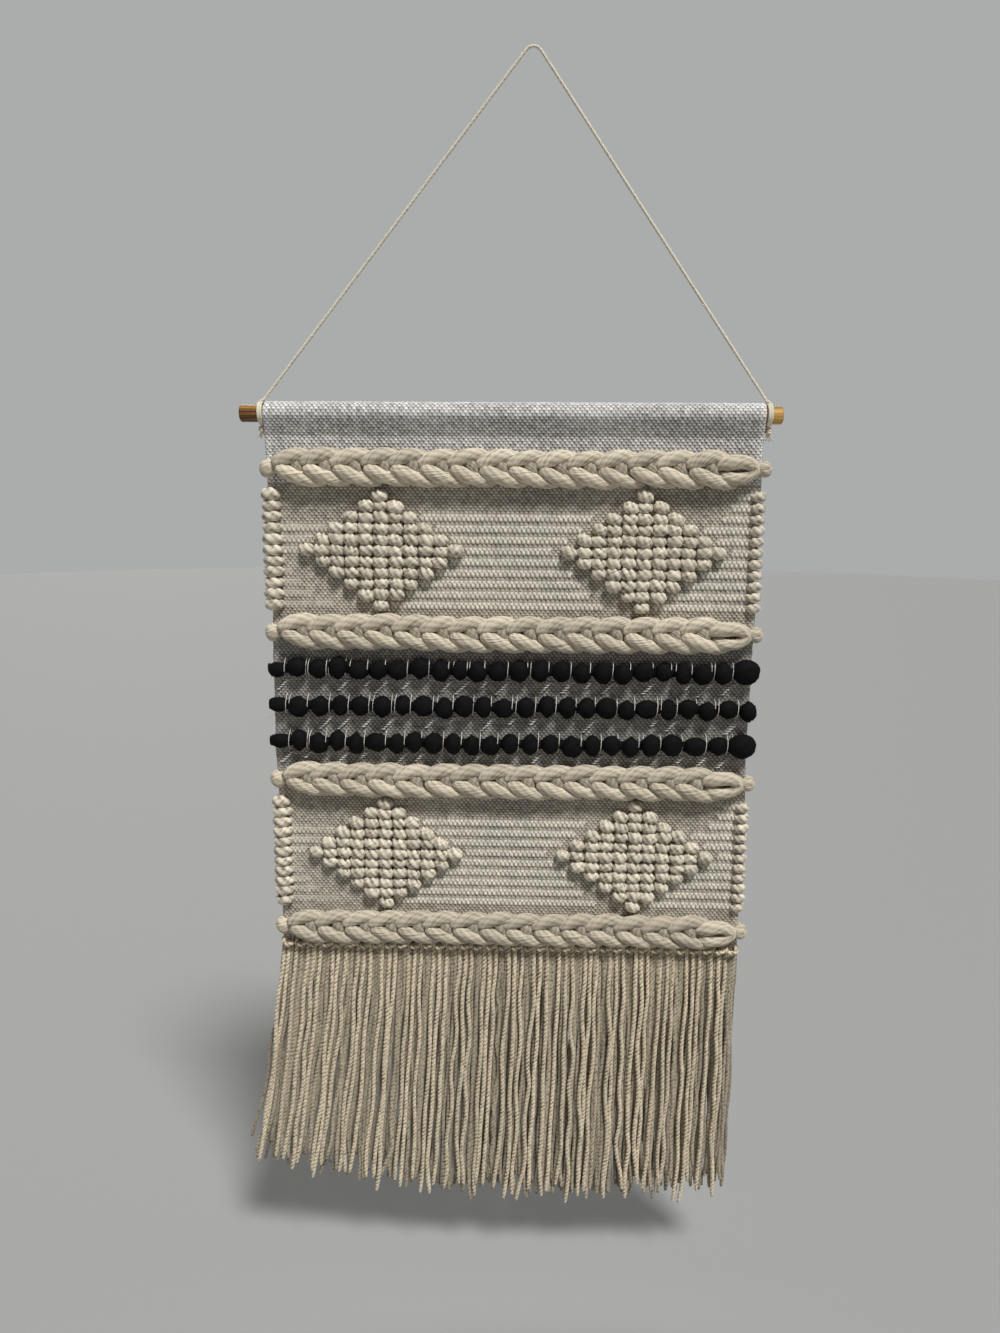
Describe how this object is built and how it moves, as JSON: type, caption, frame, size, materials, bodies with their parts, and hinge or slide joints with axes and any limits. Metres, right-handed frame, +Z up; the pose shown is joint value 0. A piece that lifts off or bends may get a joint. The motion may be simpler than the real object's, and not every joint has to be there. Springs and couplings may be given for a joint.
{
  "type": "tapestry wall hanging",
  "caption": "Woven wall hanging with wool braids, looped diamonds, black bobbled bands and a knotted fringe, on a wooden dowel hung by a cotton cord.",
  "frame": {"origin": "underside of the cord's top bend, where the hook or nail carries the hanging", "axes": "+Z up, -Y out of the decorated face, +Y towards the wall, +X to the right as seen from the front"},
  "size_m": [0.5217, 0.0286, 1.1361],
  "materials": {
    "cotton_cord": "natural cream twisted cotton, matt",
    "dowel_wood": "golden brown wood with a satin clear coat",
    "cotton_weave": "coarse off-white plain weave, matt",
    "sewing_thread": "off-white cotton thread",
    "cream_roving": "soft cream wool roving with loose twisted fibres",
    "loop_yarn": "beige-cream plied wool loops",
    "black_roving": "felted near-black wool roving",
    "fringe_yarn": "warm cream plied cotton and wool yarn, fuzzy"
  },
  "bodies": {
    "hanger": {"hanging_cord": "cotton_cord", "cord_hitch_left": "cotton_cord", "cord_hitch_right": "cotton_cord", "cord_knot_left": "cotton_cord", "cord_knot_right": "cotton_cord", "cord_tail_left": "cotton_cord", "cord_tail_right": "cotton_cord"},
    "rod": {"dowel": "dowel_wood"},
    "cloth": {"woven_panel": "cotton_weave", "pocket_seam": "sewing_thread", "braid_1": "cream_roving", "braid_2": "cream_roving", "braid_3": "cream_roving", "braid_4": "cream_roving", "diamond_upper_left": "loop_yarn", "diamond_upper_right": "loop_yarn", "diamond_lower_left": "loop_yarn", "diamond_lower_right": "loop_yarn", "roving_row_1": "black_roving", "roving_row_2": "black_roving", "roving_row_3": "black_roving"},
    "fringe": {"tassel_01": "fringe_yarn", "tassel_02": "fringe_yarn", "tassel_03": "fringe_yarn", "tassel_04": "fringe_yarn", "tassel_05": "fringe_yarn", "tassel_06": "fringe_yarn", "tassel_07": "fringe_yarn", "tassel_08": "fringe_yarn", "tassel_09": "fringe_yarn", "tassel_10": "fringe_yarn", "tassel_11": "fringe_yarn", "tassel_12": "fringe_yarn", "tassel_13": "fringe_yarn", "tassel_14": "fringe_yarn", "tassel_15": "fringe_yarn", "tassel_16": "fringe_yarn", "tassel_17": "fringe_yarn", "tassel_18": "fringe_yarn", "tassel_19": "fringe_yarn", "tassel_20": "fringe_yarn", "tassel_21": "fringe_yarn", "tassel_22": "fringe_yarn", "tassel_23": "fringe_yarn", "tassel_24": "fringe_yarn", "tassel_25": "fringe_yarn", "tassel_26": "fringe_yarn", "tassel_27": "fringe_yarn", "tassel_28": "fringe_yarn", "tassel_29": "fringe_yarn", "tassel_30": "fringe_yarn", "tassel_31": "fringe_yarn", "tassel_32": "fringe_yarn", "tassel_33": "fringe_yarn", "tassel_34": "fringe_yarn", "tassel_35": "fringe_yarn", "tassel_36": "fringe_yarn"}
  },
  "joints": [
    {"name": "dowel_turn", "type": "hinge", "parent": "hanger", "child": "rod", "pos_m": [-0.0187, 0, -0.3135], "axis": [1, 0, 0], "continuous": true},
    {"name": "panel_swing", "type": "hinge", "parent": "hanger", "child": "cloth", "pos_m": [-0.015, 0, -0.3135], "axis": [-1, 0, 0], "range_deg": [-20, 85]},
    {"name": "fringe_swing", "type": "hinge", "parent": "cloth", "child": "fringe", "pos_m": [-0.015, 0, -0.852], "axis": [-1, 0, 0], "range_deg": [-60, 60]}
  ]
}
